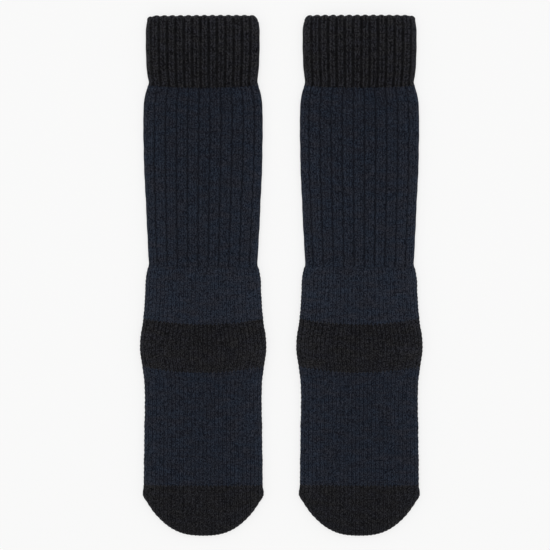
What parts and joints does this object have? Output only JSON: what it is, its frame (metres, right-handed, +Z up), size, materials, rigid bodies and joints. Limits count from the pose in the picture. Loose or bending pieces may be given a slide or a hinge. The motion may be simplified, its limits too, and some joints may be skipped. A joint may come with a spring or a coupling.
{
  "type": "pair of boot socks laid flat",
  "caption": "Pair of thick knitted boot socks laid flat with the heels up: ribbed cuff and leg, plain foot, contrasting heel and toe pockets.",
  "frame": {"origin": "centre of the pair on the surface that the socks lie on, half way between cuff tops and toe tips", "axes": "+Y along the socks towards the cuffs, +X across the pair, +Z up from the surface; the backs and heels of the socks face +Z"},
  "size_m": [0.268, 0.4949, 0.0114],
  "materials": {
    "black_yarn": "matt fuzzy wool-blend knit",
    "navy_yarn": "matt fuzzy heathered wool-blend knit"
  },
  "bodies": {
    "root": {"left_cuff": "black_yarn", "left_leg": "navy_yarn", "left_foot": "navy_yarn", "left_heel": "black_yarn", "left_toe": "black_yarn", "right_cuff": "black_yarn", "right_leg": "navy_yarn", "right_foot": "navy_yarn", "right_heel": "black_yarn", "right_toe": "black_yarn"}
  },
  "joints": []
}
